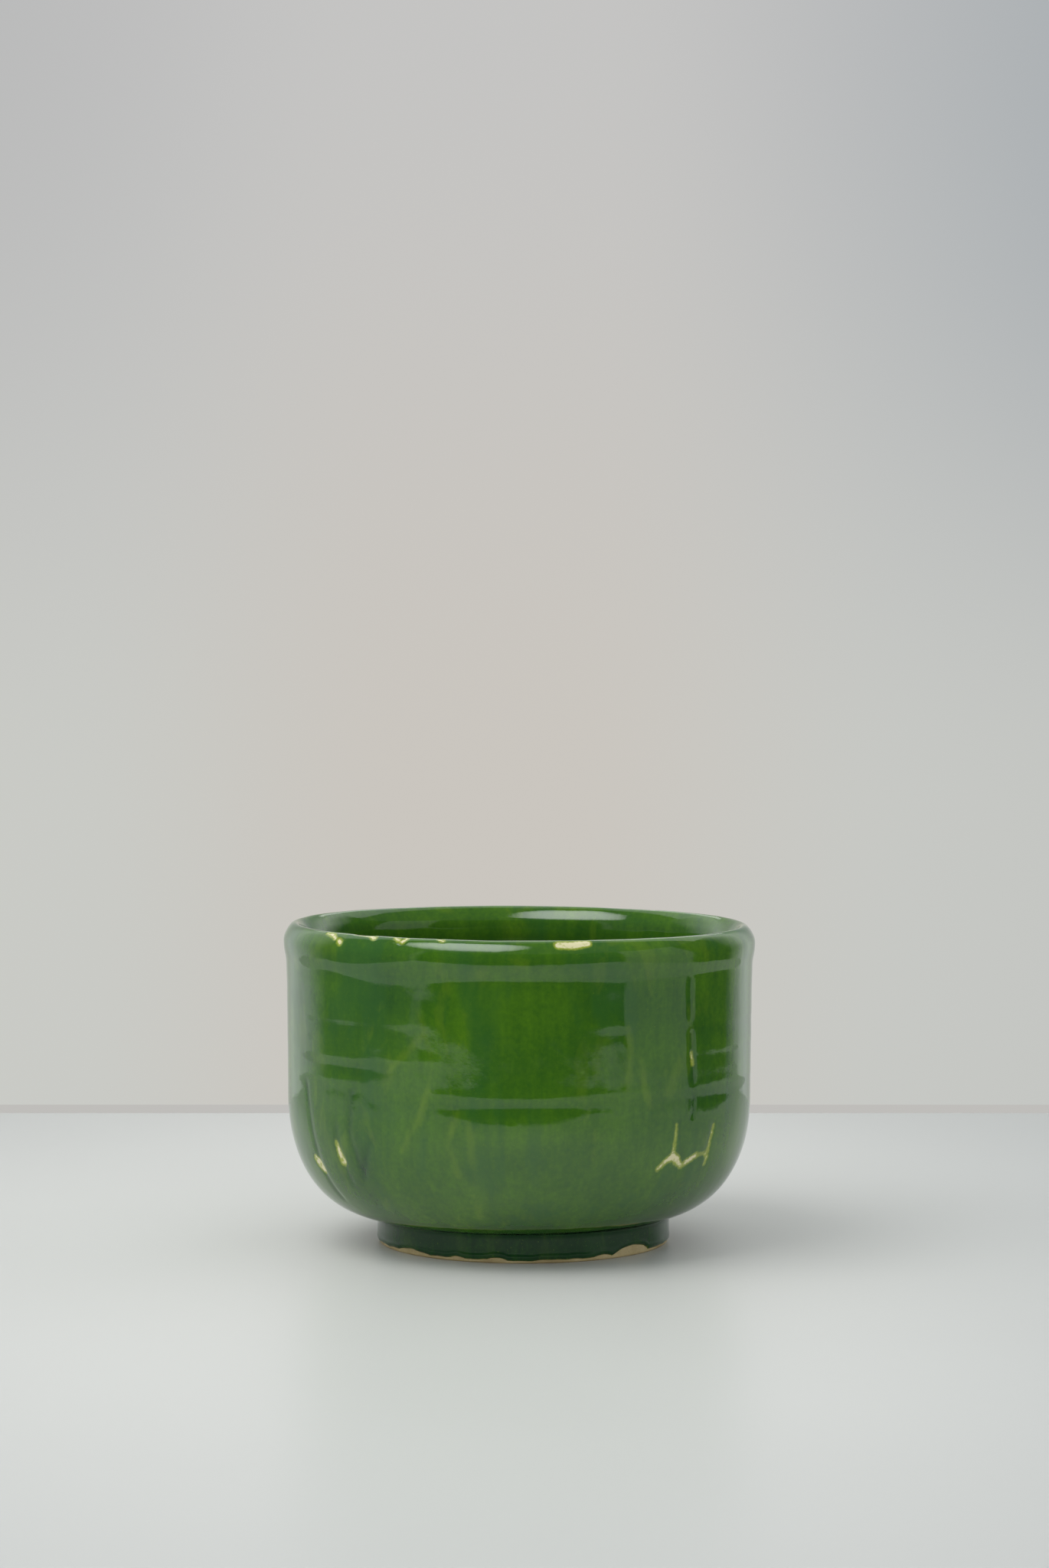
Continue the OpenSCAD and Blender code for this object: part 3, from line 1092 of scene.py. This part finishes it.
def backdrop_material():
    """A pale wall that glows instead of being lit, so its tones are painted light: warm behind the bowl,
    with painted shade darker towards the top and the right, and brighter ends.
    """
    n = Nodes("pale_wall")
    split = n.add("ShaderNodeSeparateXYZ")
    n.plug(n.place, split.inputs[0])
    # Painted shade: darker higher up
    up = n.between(split.outputs["Z"], 0.02, 0.62)
    neutral = n.mix(up, *BACKDROP_NEUTRAL)
    warm = n.mix(up, *BACKDROP_WARM)
    aside = n.between(n.math("ABSOLUTE", n.math("ADD", split.outputs["X"], 0.03)), 0.05, 0.30)
    colour = n.mix(aside, warm, neutral)
    # Painted shade towards the right and up on the left, and painted light at both ends
    right = n.math("MULTIPLY", n.between(split.outputs["X"], 0.05, 0.50), n.between(up, -0.4, 1.0))
    colour = n.mix(right, colour, BACKDROP_RIGHT_SHADE)
    left = n.math("MULTIPLY", n.between(split.outputs["X"], -0.12, -0.42), up)
    colour = n.mix(n.math("MULTIPLY", left, 0.7), colour, BACKDROP_LEFT_SHADE)
    ends = n.between(n.math("ABSOLUTE", split.outputs["X"]), 0.55, 1.1)
    colour = n.mix(ends, colour, BACKDROP_ENDS_LIGHT)
    n.plug(colour, only_glow(n).inputs["Color"])
    return n.material


def make_stage():
    """The table, the floor that carries it on past what the glaze mirrors, a glowing strip of painted shade
    along its back edge, and the backdrop.
    """
    pale = floor_material()
    level = CAD_LOW.z
    level_sheet("table", TABLE_LEFT, TABLE_RIGHT, TABLE_FRONT, TABLE_BACK, level, pale)
    around_table = [
        ("left", -FLOOR_REACH, TABLE_LEFT, -FLOOR_REACH, TABLE_BACK),
        ("right", TABLE_RIGHT, FLOOR_REACH, -FLOOR_REACH, TABLE_BACK),
        ("front", TABLE_LEFT, TABLE_RIGHT, -FLOOR_REACH, TABLE_FRONT),
    ]
    for side, x_low, x_high, y_low, y_high in around_table:
        floor = level_sheet("floor_" + side, x_low, x_high, y_low, y_high, level, pale)
        floor.visible_glossy = False
    quad = [(0, 1, 2, 3)]
    low, high = (-BACKDROP_HALF_WIDTH, BACKDROP_AWAY), (BACKDROP_HALF_WIDTH, BACKDROP_AWAY)
    wall = [(*low, BACKDROP_LOW), (*high, BACKDROP_LOW), (*high, BACKDROP_HIGH), (*low, BACKDROP_HIGH)]
    stage_object("backdrop", wall, quad, backdrop_material())
    # A dark line of painted shade along the table's back edge
    near, far = TABLE_BACK, TABLE_BACK + EDGE_DEEP
    strip = [(-FLOOR_REACH, near, -EDGE_UNDER), (FLOOR_REACH, near, -EDGE_UNDER)]
    strip += [(FLOOR_REACH, far, EDGE_ABOVE), (-FLOOR_REACH, far, EDGE_ABOVE)]
    edge = stage_object("floor_edge", strip, quad, glowing("edge_shade", EDGE_SHADE_COLOUR))
    edge.visible_glossy = False


def make_room():
    """What the glaze mirrors round the table: a dark room with pale sides and two windows."""
    room_wall(ROOM_TONES, WALL_LOW, WALL_HIGH)
    room_card("room_ceiling", -115, 115, WALL_HIGH, 90, tone=0.14)
    room_card("window", -90, 10, 43, 79, tone=5.0, away=1.9, rounded=True)
    room_card("rear_window", 156, 204, 28, 56, tone=1.8, away=1.5)


def aim(thing, target):
    """Turns a light to face a point."""
    thing.rotation_mode = "QUATERNION"
    thing.rotation_quaternion = (Vector(target) - thing.location).to_track_quat("-Z", "Y")


def soft_light(name, turn, up, away, width, height, power, colour):
    """A rectangular light that faces the bowl from a turn and an elevation."""
    data = bpy.data.lights.new(name, "AREA")
    data.shape = "RECTANGLE"
    data.size, data.size_y = width, height
    data.energy = power
    data.color = colour
    light = bpy.data.objects.new(name, data)
    bpy.context.scene.collection.objects.link(light)
    light.location = on_room(turn, up, away)
    aim(light, LIGHT_TARGET)
    return light


def make_lights():
    """An even pale surround, and one large soft light from the upper left."""
    world = bpy.data.worlds.new("soft_room")
    bpy.context.scene.world = world
    world.use_nodes = True
    surround = world.node_tree.nodes["Background"]
    surround.inputs["Color"].default_value = (*WORLD_COLOUR, 1)
    surround.inputs["Strength"].default_value = 1.0
    key = soft_light("key", -60, 56, 1.25, width=0.95, height=0.95, power=7.2, colour=(1.0, 0.99, 0.97))
    key.visible_glossy = False


def make_camera():
    """The photograph's view: a longish lens a little above the rim, tilted slightly down."""
    data = bpy.data.cameras.new("camera")
    data.lens = CAMERA_LENS_MM
    data.sensor_width = CAMERA_SENSOR_MM
    camera = bpy.data.objects.new("camera", data)
    bpy.context.scene.collection.objects.link(camera)
    camera.location = CAMERA_PLACE
    camera.rotation_euler = (math.pi / 2 - CAMERA_TILT_DOWN, 0, 0)
    bpy.context.scene.camera = camera


make_camera()
make_lights()
make_stage()
make_room()

glaze = glaze_material("green_glaze", -0.16, runs=True)
well_glaze = glaze_material("well_glaze", -0.12)
# The foot's green is shifted deeper than the wall's: painted shade under the overhanging belly
foot_glaze = glaze_material(
    "foot_green_glaze_painted_shade", 0.30, ior=1.40, dullness=0.08, teal_share=0.15, wisp_share=0.08
)
clay = clay_material()
make_outer_coat(glaze)
make_inner_coat(well_glaze)
make_foot_coat(foot_glaze)
make_recess_coat(well_glaze)
make_body(clay)
make_foot(clay)

bpy.context.scene.view_settings.view_transform = "Standard"
